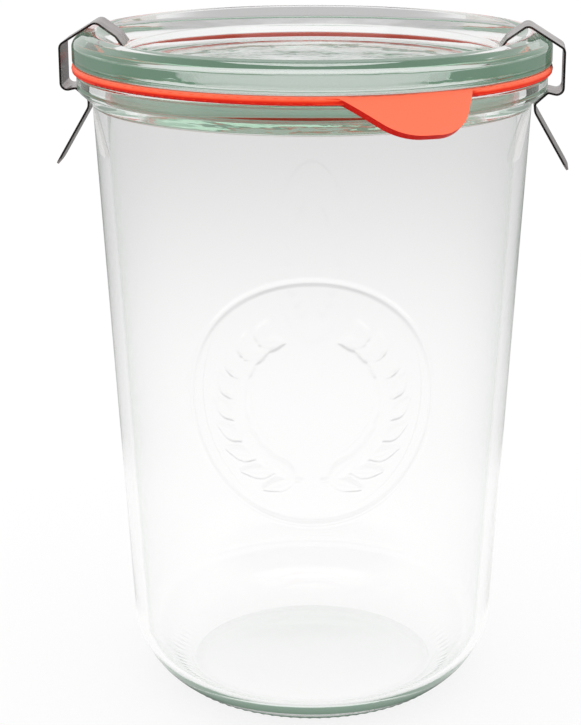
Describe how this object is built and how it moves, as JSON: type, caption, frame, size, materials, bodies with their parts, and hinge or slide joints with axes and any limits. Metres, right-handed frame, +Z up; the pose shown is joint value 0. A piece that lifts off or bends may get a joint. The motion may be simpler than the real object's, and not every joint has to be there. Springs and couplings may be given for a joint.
{
  "type": "preserving jar",
  "caption": "Round tapered glass preserving jar with a recessed glass lid, a rubber sealing ring with a pull tab, and spring clips over the rim.",
  "frame": {"origin": "middle of the circle on which the jar stands, on the jar's axis", "axes": "+Z up along the jar's axis, -Y the front with the pull tab to the right of it, +X the right, where one clip sits"},
  "size_m": [0.1166, 0.1099, 0.1577],
  "materials": {
    "glass": "clear pressed glass with a faint green tint in its thick parts",
    "rubber": "satin orange-red natural rubber",
    "steel": "bright rolled spring steel"
  },
  "bodies": {
    "root": {"jar_body": "glass", "lid": "glass", "sealing_ring": "rubber", "clip_left": "steel", "clip_right": "steel"}
  },
  "joints": []
}
